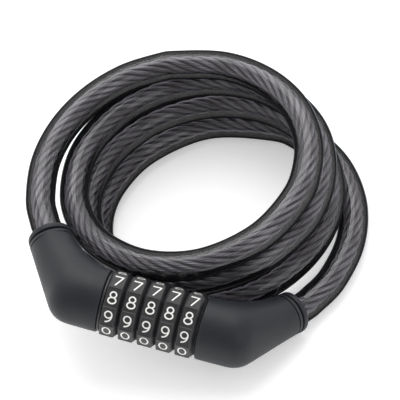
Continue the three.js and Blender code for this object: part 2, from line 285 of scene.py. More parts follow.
# ---- Twisted core and jacket ----------------------------------------------------------------
# Six galvanised steel strands are laid right-handed round a core, and a smoky clear PVC
# jacket is drawn over them. The last stretch, to the left elbow, bends as the lock opens.
STRANDS = 6
STRAND_LAY = 0.036
STRAND_R = 0.00078
STRAND_CENTRE_R = 0.00150


def node(tree, kind, feeds=None, **settings):
    """Adds a node. feeds maps an input's name or number to a value or another node's output."""
    made = tree.nodes.new(kind)
    for name, value in settings.items():
        setattr(made, name, value)
    for key, value in (feeds or {}).items():
        if isinstance(key, int):
            socket = made.inputs[key]
        else:
            socket = next(s for s in made.inputs if s.name == key and s.enabled)
        if isinstance(value, bpy.types.NodeSocket):
            tree.links.new(value, socket)
        else:
            socket.default_value = value
    return made


def maths(tree, operation, *feeds):
    return node(tree, "ShaderNodeMath", dict(enumerate(feeds)), operation=operation).outputs[0]


def laid_cable_tree():
    """Winds round sections about a line: strands about a core, or one tube on the line."""
    tree = bpy.data.node_groups.new("laid cable", "GeometryNodeTree")
    face = tree.interface
    face.new_socket("Line", in_out="INPUT", socket_type="NodeSocketGeometry")
    for name in ("Strands", "Sides"):
        face.new_socket(name, in_out="INPUT", socket_type="NodeSocketInt")
    for name in ("Lay", "Centre radius", "Strand radius", "From", "To"):
        face.new_socket(name, in_out="INPUT", socket_type="NodeSocketFloat")
    face.new_socket("Finish", in_out="INPUT", socket_type="NodeSocketMaterial")
    face.new_socket("Cable", in_out="OUTPUT", socket_type="NodeSocketGeometry")
    given = node(tree, "NodeGroupInput").outputs
    curve = node(tree, "GeometryNodeMeshToCurve", {"Mesh": given["Line"]})
    along = node(tree, "GeometryNodeSplineParameter").outputs
    marked = node(tree, "GeometryNodeStoreNamedAttribute", {
        "Geometry": curve.outputs[0], "Name": "along", "Value": along["Factor"],
    }, data_type="FLOAT", domain="POINT")
    copies = node(tree, "GeometryNodeDuplicateElements", {
        "Geometry": marked.outputs[0], "Amount": given["Strands"],
    }, domain="SPLINE")
    share = maths(tree, "DIVIDE", copies.outputs["Duplicate Index"], given["Strands"])
    turns = maths(tree, "ADD", maths(tree, "DIVIDE", along["Length"], given["Lay"]), share)
    angle = maths(tree, "MULTIPLY", turns, math.tau)
    normal = node(tree, "GeometryNodeInputNormal").outputs[0]
    tangent = node(tree, "GeometryNodeInputTangent").outputs[0]
    side = node(tree, "ShaderNodeVectorMath", {0: tangent, 1: normal}, operation="CROSS_PRODUCT")
    part_a = node(tree, "ShaderNodeVectorMath", {
        0: normal, "Scale": maths(tree, "COSINE", angle),
    }, operation="SCALE")
    part_b = node(tree, "ShaderNodeVectorMath", {
        0: side.outputs[0], "Scale": maths(tree, "SINE", angle),
    }, operation="SCALE")
    both = node(tree, "ShaderNodeVectorMath", {0: part_a.outputs[0], 1: part_b.outputs[0]})
    offset = node(tree, "ShaderNodeVectorMath", {
        0: both.outputs[0], "Scale": given["Centre radius"],
    }, operation="SCALE")
    crowned = node(tree, "GeometryNodeStoreNamedAttribute", {
        "Geometry": copies.outputs[0], "Name": "outward", "Value": both.outputs[0],
    }, data_type="FLOAT_VECTOR", domain="POINT")
    wound = node(tree, "GeometryNodeSetPosition", {
        "Geometry": crowned.outputs[0], "Offset": offset.outputs[0],
    })
    ring = node(tree, "GeometryNodeCurvePrimitiveCircle", {
        "Resolution": given["Sides"], "Radius": given["Strand radius"],
    })
    section = node(tree, "GeometryNodeStoreNamedAttribute", {
        "Geometry": ring.outputs[0], "Name": "section",
        "Value": node(tree, "GeometryNodeInputPosition").outputs[0],
    }, data_type="FLOAT_VECTOR", domain="POINT")
    tube = node(tree, "GeometryNodeCurveToMesh", {
        "Curve": wound.outputs[0], "Profile Curve": section.outputs[0],
    })
    placed = node(tree, "GeometryNodeInputNamedAttribute", {"Name": "along"}, data_type="FLOAT")
    before = maths(tree, "LESS_THAN", placed.outputs[0], given["From"])
    after = maths(tree, "GREATER_THAN", placed.outputs[0], given["To"])
    kept = node(tree, "GeometryNodeDeleteGeometry", {
        "Geometry": tube.outputs[0], "Selection": maths(tree, "MAXIMUM", before, after),
    }, domain="POINT")
    smooth = node(tree, "GeometryNodeSetShadeSmooth", {"Geometry": kept.outputs[0]})
    real = node(tree, "GeometryNodeRealizeInstances", {"Geometry": smooth.outputs[0]})
    finish = node(tree, "GeometryNodeSetMaterial", {
        "Geometry": real.outputs[0], "Material": given["Finish"],
    })
    tree.links.new(finish.outputs[0], node(tree, "NodeGroupOutput").inputs[0])
    return tree


def grown(name, tree, source, values):
    """The mesh that a node tree makes from a source mesh, as a plain object."""
    host = bpy.data.objects.new(name, source)
    bpy.context.collection.objects.link(host)
    modifier = host.modifiers.new("made", "NODES")
    modifier.node_group = tree
    for item in tree.interface.items_tree:
        if item.in_out == "INPUT" and item.name in values:
            modifier[item.identifier] = values[item.name]
    bpy.context.view_layer.update()
    ready = host.evaluated_get(bpy.context.evaluated_depsgraph_get())
    mesh = bpy.data.meshes.new_from_object(ready)
    host.modifiers.clear()
    host.data = mesh
    mesh.name = name
    return host


def new_finish(name):
    made = bpy.data.materials.new(name)
    made.use_nodes = True
    return made, made.node_tree, made.node_tree.nodes["Principled BSDF"]


strand_steel, tree, shader = new_finish("galvanised strands")
around = node(tree, "ShaderNodeSeparateXYZ", {
    0: node(tree, "ShaderNodeAttribute", attribute_name="section").outputs["Vector"],
})
place = node(tree, "ShaderNodeAttribute", attribute_name="along").outputs["Fac"]
angle = maths(tree, "ARCTAN2", around.outputs[1], around.outputs[0])
# eight wires in a strand, laid the other way
WIRES = 8
WIRE_TURNS = 42
STREAKS_ACROSS = 1500.0
STREAKS_ALONG = 120.0
wire_turns = maths(tree, "MULTIPLY", place, math.tau * WIRES * WIRE_TURNS)
wires = maths(tree, "SINE", maths(tree, "ADD", maths(tree, "MULTIPLY", angle, WIRES), wire_turns))
bump = node(tree, "ShaderNodeBump", {"Strength": 0.8, "Distance": 0.00012, "Height": wires})
tree.links.new(bump.outputs[0], shader.inputs["Normal"])
# streaks run along each strand, a centimetre or so long
local = node(tree, "ShaderNodeCombineXYZ", {
    0: maths(tree, "MULTIPLY", around.outputs[0], STREAKS_ACROSS),
    1: maths(tree, "MULTIPLY", around.outputs[1], STREAKS_ACROSS),
    2: maths(tree, "MULTIPLY", place, STREAKS_ALONG),
})
wander = node(tree, "ShaderNodeVectorMath", {
    0: node(tree, "ShaderNodeTexCoord").outputs["Object"], "Scale": 45.0,
}, operation="SCALE")
streak_place = node(tree, "ShaderNodeVectorMath", {0: local.outputs[0], 1: wander.outputs[0]})
streaks = node(tree, "ShaderNodeTexNoise", {
    "Vector": streak_place.outputs[0], "Scale": 1.0, "Detail": 3.0,
})
tone = node(tree, "ShaderNodeValToRGB", {0: streaks.outputs[0]})
tone.color_ramp.elements[0].position = 0.34
tone.color_ramp.elements[0].color = (0.23, 0.222, 0.228, 1)
tone.color_ramp.elements[1].position = 0.66
tone.color_ramp.elements[1].color = (0.60, 0.585, 0.625, 1)
# each strand is darkened on its flanks, down in the grooves between strands: painted shade
crown = node(tree, "ShaderNodeVectorMath", {
    0: node(tree, "ShaderNodeNewGeometry").outputs["Normal"],
    1: node(tree, "ShaderNodeAttribute", attribute_name="outward").outputs["Vector"],
}, operation="DOT_PRODUCT")
groove_shade = node(tree, "ShaderNodeMapRange", {
    "Value": crown.outputs["Value"], "From Min": 0.3, "From Max": 0.85, "To Min": 0.45,
})
steel = node(tree, "ShaderNodeVectorMath", {
    0: tone.outputs[0], "Scale": groove_shade.outputs[0],
}, operation="SCALE")
tree.links.new(steel.outputs[0], shader.inputs["Base Color"])
shader.inputs["Metallic"].default_value = 0.6
shader.inputs["Roughness"].default_value = 0.38

# The jacket is clear from outside. What gets through it is lit as if it weren't there, and
# its far wall, met from inside by a ray that came in through the front, is painted near-black: painted shade.
smoky_jacket, tree, shader = new_finish("smoky clear jacket")
shader.inputs["Base Color"].default_value = (0.50, 0.49, 0.515, 1)
shader.inputs["Transmission Weight"].default_value = 1.0
shader.inputs["IOR"].default_value = 1.5
scuffs = node(tree, "ShaderNodeTexNoise", {
    "Vector": node(tree, "ShaderNodeTexCoord").outputs["Object"], "Scale": 120.0, "Detail": 4.0,
})
haze = node(tree, "ShaderNodeMapRange", {
    "Value": scuffs.outputs[0], "To Min": 0.03, "To Max": 0.11,
})
tree.links.new(haze.outputs[0], shader.inputs["Roughness"])
ripple = node(tree, "ShaderNodeBump", {
    "Strength": 0.25, "Distance": 0.0002, "Height": scuffs.outputs[0],
})
tree.links.new(ripple.outputs[0], shader.inputs["Normal"])
rays = node(tree, "ShaderNodeLightPath").outputs
inside = node(tree, "ShaderNodeNewGeometry").outputs["Backfacing"]
open_way = node(tree, "ShaderNodeBsdfTransparent", {"Color": (0.42, 0.41, 0.43, 1)})
# near-black diffuse: painted shade, on the jacket's far wall and at its edges
painted_shade = node(tree, "ShaderNodeBsdfDiffuse", {"Color": (0.014, 0.0135, 0.015, 1)})
lit = node(tree, "ShaderNodeMixShader", {
    0: maths(tree, "MAXIMUM", rays["Is Shadow Ray"], inside),
    1: shader.outputs[0], 2: open_way.outputs[0],
})
# a ray from the front that meets the far wall from inside gets the painted shade
whole = node(tree, "ShaderNodeMixShader", {
    0: maths(tree, "MULTIPLY", rays["Is Transmission Ray"], inside),
    1: lit.outputs[0], 2: painted_shade.outputs[0],
})
# seen almost along its surface the jacket is painted black, a painted shade for its dark edges,
# with a thin glossy shine at the very edge, a real reflection but let in only there and kept off
# its underside, so placed as a painted highlight
facing = node(tree, "ShaderNodeLayerWeight").outputs["Facing"]
shine = node(tree, "ShaderNodeBsdfGlossy", {"Color": (0.62, 0.66, 0.70, 1), "Roughness": 0.22})
shine_share = node(tree, "ShaderNodeMapRange", {
    "Value": facing, "From Min": 0.70, "From Max": 0.96, "To Max": 0.36,
})
upright = node(tree, "ShaderNodeSeparateXYZ", {
    0: node(tree, "ShaderNodeNewGeometry").outputs["Normal"],
})
not_below = node(tree, "ShaderNodeMapRange", {
    "Value": upright.outputs[2], "From Min": -0.50, "From Max": -0.15,
})
dark_edge = node(tree, "ShaderNodeMixShader", {
    0: maths(tree, "MULTIPLY", shine_share.outputs[0], not_below.outputs[0]),
    1: painted_shade.outputs[0], 2: shine.outputs[0],
})
# the limb, where the painted black shade takes over
limb = node(tree, "ShaderNodeMapRange", {"Value": facing, "From Min": 0.28, "From Max": 0.60})
front_limb = maths(tree, "MULTIPLY", limb.outputs[0], maths(tree, "SUBTRACT", 1.0, inside))
seen_limb = maths(tree, "MULTIPLY", front_limb, maths(tree, "SUBTRACT", 1.0, rays["Is Shadow Ray"]))
edged = node(tree, "ShaderNodeMixShader", {
    0: seen_limb, 1: whole.outputs[0], 2: dark_edge.outputs[0],
})
tree.links.new(edged.outputs[0], tree.nodes["Material Output"].inputs["Surface"])

centreline = bpy.data.meshes.new("centreline")
centreline.from_pydata(cable_line, [(i, i + 1) for i in range(len(cable_line) - 1)], [])
cable_tree = laid_cable_tree()
jacket_sizes = {
    "Strands": 1, "Sides": 40, "Lay": 1.0, "Centre radius": 0.0, "Strand radius": CABLE_R,
    "Finish": smoky_jacket,
}
core_sizes = {
    "Strands": STRANDS, "Sides": 8, "Lay": STRAND_LAY, "Centre radius": STRAND_CENTRE_R,
    "Strand radius": STRAND_R, "Finish": strand_steel,
}
left_end = {"From": -1.0, "To": lead_share}
main_end = {"From": lead_share - 1.0 / (len(cable_line) - 1), "To": 2.0}
cable_jacket = grown("cable_jacket", cable_tree, centreline, jacket_sizes | main_end)
cable_strands = grown("cable_strands", cable_tree, centreline, core_sizes | main_end)
left_jacket = grown("cable_jacket_left", cable_tree, centreline, jacket_sizes | left_end)
left_strands = grown("cable_strands_left", cable_tree, centreline, core_sizes | left_end)

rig.ride(cable_jacket, "root")
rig.ride(cable_strands, "root")
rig.replaces(cable_jacket, "cable_coil", "cable_right_lead")
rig.replaces(left_jacket, "cable_left_lead")
bend_from = COIL_CENTRE + Vector((0, 0.040, 0))
bend_to = COIL_CENTRE + Vector((0, -0.038, 0))
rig.blend(left_jacket, "root", "lock_body", start=bend_from, end=bend_to)
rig.blend(left_strands, "root", "lock_body", start=bend_from, end=bend_to)
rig.slot(cable_jacket, "cable_jacket")
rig.slot(left_jacket, "cable_jacket")
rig.slot(cable_strands, "steel")
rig.slot(left_strands, "steel")
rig.cord(
    cable_jacket, exit=cable_line[-1], length=1.09, diameter=0.012, far_end="object",
    stiffness="stiff", lay="coiled", path=cable_line[lead_points - 1:][::-1],
)
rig.cord(
    left_jacket, exit=cable_line[lead_points - 1], length=0.11, diameter=0.012,
    far_end="object", stiffness="stiff", lay="coiled", path=cable_line[:lead_points][::-1],
)

# ---- Elbow housings ------------------------------------------------------------------------
# Each cable end is held in a bent black nylon moulding: round where it meets the dials,
# swept through the bend, oval and narrowing along the arm, bored for the ferrule and its pin.
BARREL_CENTRE = Vector((0, -0.0074, 0.0266))
BARREL_SLOPE = math.radians(15.3)
BEND = math.radians(58)
HOUSING_R = 12.6
ARM_R = 8.5
# how far each arm's back and front lie from the cable's line, and how full the inside of the
# bend is; the right arm's mouth is a little off that line
LEFT_ARM = (9.0, 9.1, 1.7)
RIGHT_ARM = (8.2, 9.2, 0.6)
RIGHT_MOUTH_OFF = 0.3
KNEE_ROUND = 10
CABLE_BORE_R = 5.3
COLLAR_SEAT_R = 7.6
PIN_HOLE_R = 1.4
CORE_BORE_R = 6.6
BOLT_BORE_R = 3.6
NOSE_BORE_R = 10.2
GROOVE_WIDTH = 0.5
STATIONS = 44
AROUND = 72
barrel_place = Matrix.Translation(BARREL_CENTRE) @ Matrix.Rotation(BARREL_SLOPE, 4, "Y")
millimetres = Matrix.Scale(MM, 4)


def new_piece(name, corners, faces, place, finish):
    """An object whose mesh is given in millimetres and put in place by a matrix."""
    made = bmesh.new()
    points = [made.verts.new(place @ millimetres @ Vector(corner)) for corner in corners]
    for face in faces:
        made.faces.new([points[i] for i in face])
    bmesh.ops.remove_doubles(made, verts=made.verts, dist=1e-7)
    bmesh.ops.recalc_face_normals(made, faces=made.faces)
    mesh = bpy.data.meshes.new(name)
    made.to_mesh(mesh)
    made.free()
    if finish:
        mesh.materials.append(finish)
    piece = bpy.data.objects.new(name, mesh)
    bpy.context.collection.objects.link(piece)
    return piece


def settled(piece, smooth_to=30):
    """Applies the piece's modifiers and smooths its shading up to an angle."""
    bpy.context.view_layer.update()
    ready = piece.evaluated_get(bpy.context.evaluated_depsgraph_get())
    mesh = bpy.data.meshes.new_from_object(ready)
    piece.modifiers.clear()
    piece.data = mesh
    mesh.polygons.foreach_set("use_smooth", [True] * len(mesh.polygons))
    mesh.set_sharp_from_angle(angle=math.radians(smooth_to))
    return piece


def turned_piece(name, profile, place, finish, sides=96, turn=0.0):
    """Turns a closed outline of (along, radius) corners about the local x axis."""
    corners = []
    for k in range(sides):
        angle = turn + math.tau * k / sides
        corners += [(x, -r * math.sin(angle), r * math.cos(angle)) for x, r in profile]
    count = len(profile)
    faces = []
    for k in range(sides):
        here, there = k * count, (k + 1) % sides * count
        for i in range(count):
            j = (i + 1) % count
            if profile[i][1] or profile[j][1]:
                faces.append((here + i, here + j, there + j, there + i))
    return new_piece(name, corners, faces, place, finish)


def rod(place, radius, start, stop, sides=48):
    outline = [(start, 0), (stop, 0), (stop, radius), (start, radius)]
    return turned_piece("cutter", outline, place, None, sides)


def cut_away(piece, cutters):
    for cutter in cutters:
        modifier = piece.modifiers.new("cut", "BOOLEAN")
        modifier.object = cutter
        modifier.operation = "DIFFERENCE"
        modifier.solver = "EXACT"
    settled(piece)
    for cutter in cutters:
        bpy.data.objects.remove(cutter)


def on_arm(along, offset):
    return Vector((
        along * math.cos(BEND) - offset * math.sin(BEND),
        along * math.sin(BEND) + offset * math.cos(BEND),
    ))


def bow(start, control, stop, steps=16):
    shares = [i / steps for i in range(steps + 1)]
    return [start * (1 - t) ** 2 + control * (2 * t * (1 - t)) + stop * t * t for t in shares]


def on_rail(rail, share):
    """The point that far along a line of points, as a share of its length."""
    lengths = [(b - a).length for a, b in zip(rail, rail[1:])]
    left = share * sum(lengths)
    for start, stop, length in zip(rail, rail[1:], lengths):
        if left <= length:
            return start.lerp(stop, left / length)
        left -= length
    return rail[-1].copy()


def elbow_shell(name, face, arm_end, arm, place, finish):
    arm_back, arm_front, fullness = arm
    corner_along = (arm_back * math.cos(BEND) - HOUSING_R) / math.sin(BEND)
    corner = on_arm(corner_along, -arm_back)
    tangent = KNEE_ROUND * math.tan(BEND / 2)
    bend_start = Vector((corner.x - tangent, -HOUSING_R))
    bend_end = on_arm(corner_along + tangent, -arm_back)
    outer = [Vector((-face, -HOUSING_R))] + bow(bend_start, corner, bend_end)
    outer.append(on_arm(arm_end, -arm_back))
    inner_start = Vector((1.5 - face, HOUSING_R))
    inner = [Vector((-face, HOUSING_R))]
    inner += bow(inner_start, Vector((-4, HOUSING_R + fullness)), on_arm(arm_end, arm_front), 32)
    # (share of the length, fullness): both rims are rounded over
    sections = [(0, 0.955), (0.004, 0.982), (0.012, 1)]
    sections += [(0.012 + 0.973 * i / STATIONS, 1) for i in range(1, STATIONS + 1)]
    sections += [(0.994, 0.985), (1, 0.955)]
    corners = []
    for share, full in sections:
        low, high = on_rail(outer, share), on_rail(inner, share)
        middle = (low + high) / 2
        half = (low - middle) * full
        taper = min(max((share - 0.25) / 0.75, 0), 1)
        taper = taper * taper * (3 - 2 * taper)
        thick = (HOUSING_R + (ARM_R - HOUSING_R) * taper) * full
        for k in range(AROUND):
            angle = math.tau * k / AROUND
            spot = middle + half * math.cos(angle)
            corners.append((spot.x, spot.y, thick * math.sin(angle)))
    faces = [tuple(range(AROUND)), tuple(range(len(corners) - AROUND, len(corners)))]
    for row in range(len(sections) - 1):
        for k in range(AROUND):
            here, there = row * AROUND + k, row * AROUND + (k + 1) % AROUND
            faces.append((here, there, there + AROUND, here + AROUND))
    return new_piece(name, corners, faces, place, finish)


def grained_surface():
    """Colour, roughness and normal of a moulded, cast or rolled surface."""
    tree = bpy.data.node_groups.new("grained surface", "ShaderNodeTree")
    face = tree.interface
    face.new_socket("Colour", in_out="INPUT", socket_type="NodeSocketColor")
    for name in ("Roughness", "Mottling", "Grain scale", "Grain depth", "Edge wear and highlight"):
        face.new_socket(name, in_out="INPUT", socket_type="NodeSocketFloat")
    face.new_socket("Colour", in_out="OUTPUT", socket_type="NodeSocketColor")
    face.new_socket("Roughness", in_out="OUTPUT", socket_type="NodeSocketFloat")
    face.new_socket("Normal", in_out="OUTPUT", socket_type="NodeSocketVector")
    given = node(tree, "NodeGroupInput").outputs
    place = node(tree, "ShaderNodeTexCoord").outputs["Object"]
    clouds = node(tree, "ShaderNodeTexNoise", {"Vector": place, "Scale": 95.0, "Detail": 4.0})
    uneven = maths(tree, "SUBTRACT", clouds.outputs[0], 0.5)
    grain = node(tree, "ShaderNodeTexNoise", {
        "Vector": place, "Scale": given["Grain scale"], "Detail": 2.0,
    })
    speck = maths(tree, "SUBTRACT", grain.outputs[0], 0.5)
    shade = maths(tree, "MULTIPLY", maths(tree, "ADD", uneven, speck), given["Mottling"])
    # convex edges are lightened: partly edge wear, partly a painted highlight
    convex_edges = node(tree, "ShaderNodeMapRange", {
        "Value": node(tree, "ShaderNodeNewGeometry").outputs["Pointiness"],
        "From Min": 0.52, "From Max": 0.62, "To Max": 1.0,
    })
    lift = maths(tree, "MULTIPLY", convex_edges.outputs[0], given["Edge wear and highlight"])
    level = maths(tree, "ADD", maths(tree, "ADD", shade, lift), 1.0)
    colour = node(tree, "ShaderNodeVectorMath", {
        0: given["Colour"], "Scale": level,
    }, operation="SCALE")
    rough = maths(tree, "ADD", given["Roughness"], maths(tree, "MULTIPLY", uneven, 0.25))
    bump = node(tree, "ShaderNodeBump", {
        "Strength": 0.5, "Distance": given["Grain depth"], "Height": grain.outputs[0],
    })
    out = node(tree, "NodeGroupOutput")
    tree.links.new(colour.outputs[0], out.inputs["Colour"])
    tree.links.new(rough, out.inputs["Roughness"])
    tree.links.new(bump.outputs[0], out.inputs["Normal"])
    return tree


surface_grain = grained_surface()


# rub sets how much convex edges are lightened: partly wear, partly a painted highlight
def grained_finish(name, colour, roughness, mottling, scale, depth, rub, metal=0.0):
    finish, tree, shader = new_finish(name)
    group = node(tree, "ShaderNodeGroup", node_tree=surface_grain)
    values = {
        "Colour": (*colour, 1), "Roughness": roughness, "Mottling": mottling,
        "Grain scale": scale, "Grain depth": depth, "Edge wear and highlight": rub,
    }
    for socket, value in values.items():
        group.inputs[socket].default_value = value
    tree.links.new(group.outputs["Colour"], shader.inputs["Base Color"])
    tree.links.new(group.outputs["Roughness"], shader.inputs["Roughness"])
    tree.links.new(group.outputs["Normal"], shader.inputs["Normal"])
    shader.inputs["Metallic"].default_value = metal
    return finish


satin_nylon = grained_finish(
    "satin black nylon", (0.012, 0.0135, 0.0175), 0.50, 0.22, 1900.0, 0.00004, 0.5,
)
nylon_shader = satin_nylon.node_tree.nodes["Principled BSDF"]
nylon_shader.inputs["Specular IOR Level"].default_value = 0.38


def elbow_place(side, knee, tilt):
    along = Vector((side, 0, 0))
    across = Vector((0, math.cos(tilt), math.sin(tilt)))
    turned = Matrix((along, across, along.cross(across))).transposed().to_4x4()
    return barrel_place @ Matrix.Translation((side * knee * MM, 0, 0)) @ turned


def arm_tools(place, arm_end, down, groove_r, off):
    """The cable's bore and its seat, the pin's hole and the groove round the arm."""
    arm = place @ Matrix.Rotation(BEND, 4, "Z")
    across = arm @ Matrix.Translation((0.014, 0, 0)) @ Matrix.Rotation(-math.pi / 2, 4, "Y")
    groove_end = arm_end - 1.7
    groove_start = groove_end - GROOVE_WIDTH
    groove = turned_piece(
        "cutter",
        [(groove_start, groove_r), (groove_end, groove_r), (groove_end, 12), (groove_start, 12)],
        arm @ Matrix.Translation((0, off * MM, 0)), None,
    )
    reach = sorted((-7.3 * down, 14 * down))
    bore = rod(arm, CABLE_BORE_R, 7.7, arm_end + 4)
    seat = rod(arm, COLLAR_SEAT_R, arm_end - 3, arm_end + 4)
    return [bore, seat, rod(across, PIN_HOLE_R, *reach, 24), groove]


def barrel_pin_hole(x, low, high):
    across = Matrix.Translation((x * MM, 0, 0)) @ Matrix.Rotation(-math.pi / 2, 4, "Y")
    return rod(barrel_place @ across, PIN_HOLE_R, low, high, 24)


left_place = elbow_place(-1, 35.6, math.radians(-2.7))
right_place = elbow_place(1, 37.0, math.radians(-13.4))
LEFT_ARM_END = 25.6
RIGHT_ARM_END = 24.1
left_housing = elbow_shell(
    "left_housing", 15.05, LEFT_ARM_END, LEFT_ARM, left_place, satin_nylon,
)
right_housing = elbow_shell(
    "right_housing", 17.4, RIGHT_ARM_END, RIGHT_ARM, right_place, satin_nylon,
)
cut_away(left_housing, [
    *arm_tools(left_place, LEFT_ARM_END, 1, 8.5, 0.0), rod(barrel_place, CORE_BORE_R, -32.3, 0),
    barrel_pin_hole(-27, -16, 9),
])
cut_away(right_housing, [
    *arm_tools(right_place, RIGHT_ARM_END, -1, 7.9, RIGHT_MOUTH_OFF),
    rod(barrel_place, BOLT_BORE_R, 0, 33.3), rod(barrel_place, NOSE_BORE_R, 0, 22.6),
    barrel_pin_hole(28, -16, 7),
])
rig.ride(left_housing, "lock_body")
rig.ride(right_housing, "root")
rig.replaces(left_housing, "left_elbow")
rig.replaces(right_housing, "right_elbow")
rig.slot(left_housing, "housing")
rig.slot(right_housing, "housing")

# ---- End collars -----------------------------------------------------------------------------
# A separate moulded nylon ring closes each arm. Its spigot is pressed into the arm's seat, and
# it has a rolled lip where the cable goes in.
# (how far past the arm's end, radius)
COLLAR = [
    (-2.7, 6.3), (1.9, 6.3), (2.4, 6.42), (2.7, 6.7), (2.8, 7.1), (2.8, 7.7), (2.72, 8.1),
    (2.5, 8.35), (2.2, 8.45), (0.6, 8.5), (0.45, 8.4), (0.4, 8.2), (0.4, 7.2), (-2.7, 7.2),
]
for name, place, arm_end, off, fuller, body in (
    ("left", left_place, LEFT_ARM_END, 0.0, 0.4, "lock_body"),
    ("right", right_place, RIGHT_ARM_END, RIGHT_MOUTH_OFF, 0.1, "root"),
):
    arm = place @ Matrix.Rotation(BEND, 4, "Z") @ Matrix.Translation((arm_end * MM, off * MM, 0))
    outline = [(x, r + fuller if r > 7.4 else r) for x, r in COLLAR]
    collar = settled(turned_piece(f"{name}_collar", outline, arm, satin_nylon), 50)
    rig.ride(collar, body)
    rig.replaces(collar, f"{name}_end_ring")
    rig.slot(collar, "housing")

# ---- Number dials ----------------------------------------------------------------------------
# Five identical ten-sided acetal dials, each with a finger chamfer on its right. The facets
# carry the digits, moulded in white, and the corners have a small round.
DIAL_COUNT = 5
DIAL_PITCH = 7.7
FACETS = 10
FACET_R = 12.6
STEP_R = 10.9
FACING_DIGIT = 8
FACING_TURN = math.radians(24.5)
dial_start = -DIAL_PITCH / 2 + 0.15
dial_end = DIAL_PITCH / 2 - 0.15
facet_start = dial_start + 0.4
facet_end = facet_start + 5.3
corner_out = 1 / math.cos(math.pi / FACETS)
DIAL_OUTLINE = [
    (dial_start, 9.3), (dial_end, 9.3), (dial_end, STEP_R), (facet_end + 1.5, STEP_R),
    (facet_end, FACET_R), (facet_start, FACET_R), (dial_start, FACET_R - 0.4),
]
# its edges are lightened strongly: partly wear, partly a painted highlight on the facet corners
dial_acetal = grained_finish(
    "black dial acetal", (0.015, 0.015, 0.017), 0.36, 0.8, 1300.0, 0.00012, 1.6,
)
digit_white = grained_finish(
    "white digit", (0.84, 0.84, 0.81), 0.5, 0.05, 1500.0, 0.00002, 0.0,
)


def oval(x, y, wide, high, start=0, stop=360):
    """Points on an oval's edge between two angles in degrees, in a digit's own millimetres."""
    steps = max(4, round(abs(stop - start) / 15))
    angles = [math.radians(start + (stop - start) * i / steps) for i in range(steps + 1)]
    return [Vector((x + wide * math.cos(a), y + high * math.sin(a))) for a in angles]


def straight(*corners):
    ends = [Vector(corner) for corner in corners]
    return [ends[0].lerp(ends[1], i / 4) for i in range(5)]


W, H = 1.56, 2.42
nine_tail = bow(Vector((1.42, 0.9)), Vector((1.55, -1.75)), Vector((-0.75, -2.28)))
DIGITS = {
    0: [oval(0, 0, W, H)],
    1: [straight((-0.75, H - 0.85), (0.3, H)), straight((0.3, H), (0.3, -H))],
    2: [
        oval(0, H - 1.4, 1.4, 1.4, 165, -38), straight((1.1, 0.07), (-W, -H)),
        straight((-W, -H), (W, -H)),
    ],
    3: [oval(0, 1.18, 1.25, 1.15, 150, -90), oval(0, -1.14, W, 1.19, 90, -150)],
    4: [
        straight((0.6, H), (0.6, -H)), straight((0.6, H), (-W, -0.8)),
        straight((-W, -0.8), (W, -0.8)),
    ],
    5: [
        straight((1.25, H), (-1.0, H)), straight((-1.0, H), (-1.2, 0.35)),
        oval(0, -0.78, W, 1.55, 138, -148),
    ],
    6: [oval(0, -0.9, 1.42, 1.43), [-point for point in nine_tail]],
    7: [straight((-W, H), (W, H)), straight((W, H), (-0.55, -H))],
    8: [oval(0, 1.2, 1.22, 1.13), oval(0, -1.12, W, 1.21)],
    9: [oval(0, 0.9, 1.42, 1.43), nine_tail],
}
STROKE_R = 0.30
PANEL_DEPTH = 0.17
PANEL_MARGIN = 0.35
STROKE_RISE = 0.02


def stroke(points, lift):
    """One rounded stroke, lifted to a facet by a function: its corners and its faces."""
    closed = (points[0] - points[-1]).length < 1e-6
    rings = []
    if closed:
        points = points[:-1]
    for i, point in enumerate(points):
        after = points[(i + 1) % len(points)] if closed else points[min(i + 1, len(points) - 1)]
        before = points[i - 1] if closed else points[max(i - 1, 0)]
        rings.append((point, (after - before).normalized(), 1.0))
    if not closed:
        first, last = rings[0], rings[-1]
        tips = [math.radians(angle) for angle in (30, 60, 88)]
        for tip in tips:
            back = first[1] * (STROKE_R * math.sin(tip))
            rings.insert(0, (first[0] - back, first[1], math.cos(tip)))
            rings.append((last[0] + last[1] * (STROKE_R * math.sin(tip)), last[1], math.cos(tip)))
    sides = 10
    corners = []
    for point, heading, full in rings:
        across = Vector((-heading.y, heading.x))
        for k in range(sides):
            angle = math.tau * k / sides
            spot = point + across * (STROKE_R * full * math.cos(angle))
            corners.append(lift(spot, STROKE_RISE * full * math.sin(angle)))
    faces = []
    spans = len(rings) if closed else len(rings) - 1
    for row in range(spans):
        here, there = row * sides, (row + 1) % len(rings) * sides
        for k in range(sides):
            faces.append((here + k, here + (k + 1) % sides, there + (k + 1) % sides, there + k))
    if not closed:
        faces += [tuple(range(sides)), tuple(range(len(corners) - sides, len(corners)))]
    return corners, faces


def dial_figures(name, place, finish):
    """All ten digits of one dial, each on its own facet."""
    corners, faces = [], []
    for digit, strokes in DIGITS.items():
        steps_on = (digit - FACING_DIGIT) % FACETS
        angle = FACING_TURN + math.tau * steps_on / FACETS
        up = Vector((0, math.cos(angle), math.sin(angle)))
        outward = Vector((0, -math.sin(angle), math.cos(angle)))
        middle = Vector(((facet_start + facet_end) / 2, 0, 0)) + outward * (FACET_R - PANEL_DEPTH)

        def lift(spot, height):
            return middle + Vector((spot.x, 0, 0)) + up * spot.y + outward * height

        for points in strokes:
            more, their_faces = stroke(points, lift)
            first = len(corners)
            corners += more
            faces += [tuple(first + i for i in face) for face in their_faces]
    return new_piece(name, corners, faces, place, finish)


def sunk_panels(dial):
    """Each facet carries its digit in a shallow square panel."""
    made = bmesh.new()
    made.from_mesh(dial.data)
    facet_length = (facet_end - facet_start) * MM
    side = 2 * FACET_R * math.tan(math.pi / FACETS) * MM
    facets = [f for f in made.faces if abs(f.calc_area() - facet_length * side) < 1e-7]
    bmesh.ops.inset_individual(
        made, faces=facets, thickness=PANEL_MARGIN * MM, depth=-PANEL_DEPTH * MM,
    )
    made.to_mesh(dial.data)
    made.free()


